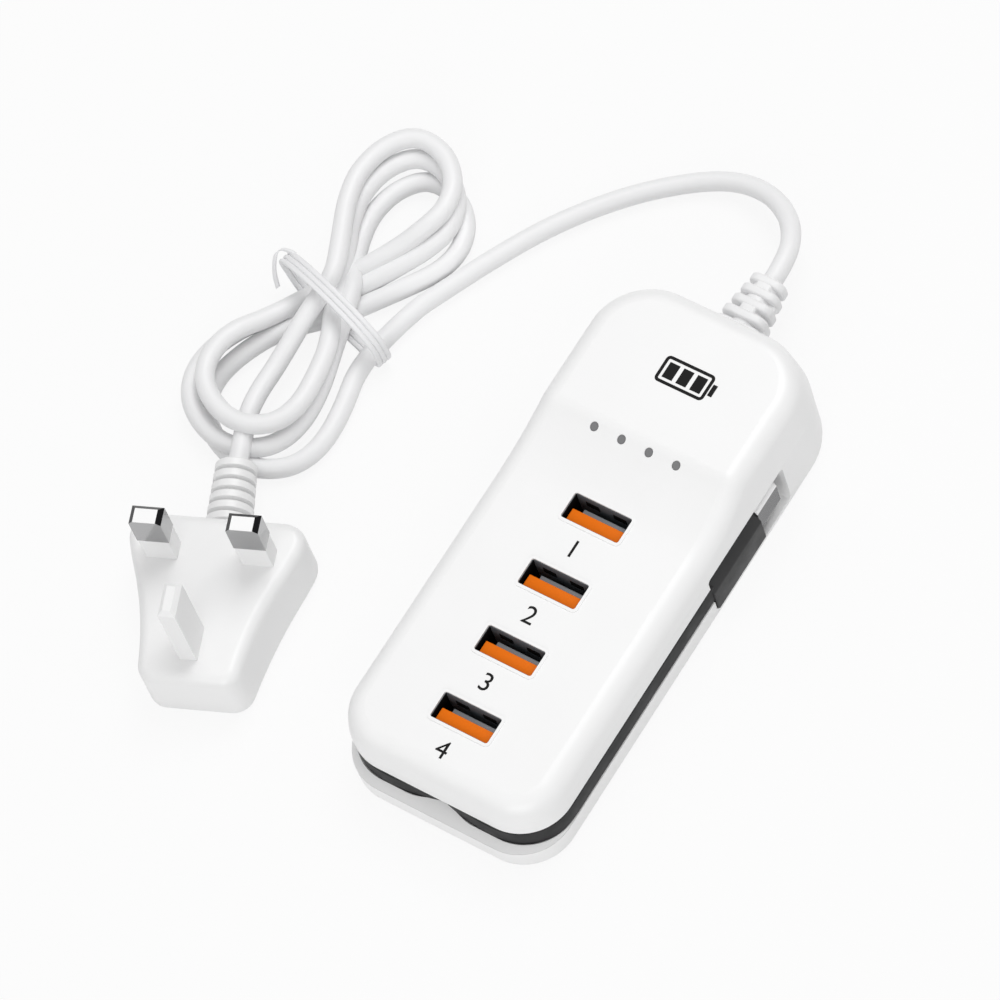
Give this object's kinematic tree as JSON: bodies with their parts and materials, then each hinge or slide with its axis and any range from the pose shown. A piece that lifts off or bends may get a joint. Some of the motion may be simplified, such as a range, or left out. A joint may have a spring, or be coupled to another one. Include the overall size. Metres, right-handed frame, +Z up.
{
  "type": "usb power strip",
  "caption": "Flat white USB charging strip with a stepped head, a row of sockets, captive charging leads in a side groove, and a tied mains cord ending in a flat-pin plug.",
  "frame": {"origin": "middle of the housing's underside, on the table", "axes": "+X across the housing, +Y along it towards the head and the cord, +Z up"},
  "size_m": [0.1396, 0.1712, 0.0387],
  "materials": {
    "white_plastic": "smooth white moulding",
    "cord_plastic": "soft white sheath",
    "plug_plastic": "smooth white moulding",
    "tie_plastic": "white ribbon",
    "socket_steel": "dull plated steel",
    "orange_plastic": "orange moulding",
    "contact_brass": "plated strips",
    "pin_metal": "bright plating",
    "tip_metal": "satin plating",
    "tip_plastic": "black moulding",
    "lead_rubber": "black sheath",
    "grip_plastic": "black moulding",
    "board_laminate": "green laminate",
    "light_guide": "smoked clear plastic",
    "light_chip": "pale lens",
    "ferrite": "dark sintered core",
    "coil_tape": "yellow tape",
    "capacitor_sleeve": "dark sleeve",
    "component_body": "black moulding",
    "wire_cover": "insulated cores"
  },
  "bodies": {
    "root": {"top_cover": "white_plastic", "base_case": "white_plastic", "cord_relief": "cord_plastic", "mains_cord": "cord_plastic", "cord_hank": "cord_plastic", "plug_cord": "cord_plastic", "plug_body": "plug_plastic", "earth_pin": "plug_plastic", "live_pin_sleeve": "plug_plastic", "neutral_pin_sleeve": "plug_plastic", "twist_tie": "tie_plastic", "usb_shell_1": "socket_steel", "usb_shell_2": "socket_steel", "usb_shell_3": "socket_steel", "usb_shell_4": "socket_steel", "usb_tongue_1": "orange_plastic", "usb_tongue_2": "orange_plastic", "usb_tongue_3": "orange_plastic", "usb_tongue_4": "orange_plastic", "usb_contacts_1": "contact_brass", "usb_contacts_2": "contact_brass", "usb_contacts_3": "contact_brass", "usb_contacts_4": "contact_brass", "live_pin": "pin_metal", "neutral_pin": "pin_metal", "right_lead_tip_shell": "tip_metal", "left_lead_tip_shell": "tip_metal", "right_lead_tip_insert": "tip_plastic", "left_lead_tip_insert": "tip_plastic", "right_lead_cable": "lead_rubber", "left_lead_cable": "lead_rubber", "right_lead_grip": "grip_plastic", "left_lead_grip": "grip_plastic", "circuit_board": "board_laminate", "led_light_guides": "light_guide", "led_chips": "light_chip", "transformer_core": "ferrite", "transformer_coil": "coil_tape", "mains_capacitor": "capacitor_sleeve", "output_capacitors": "capacitor_sleeve", "bridge_rectifier": "component_body", "line_fuse": "component_body", "mains_wires": "wire_cover"}
  },
  "joints": []
}
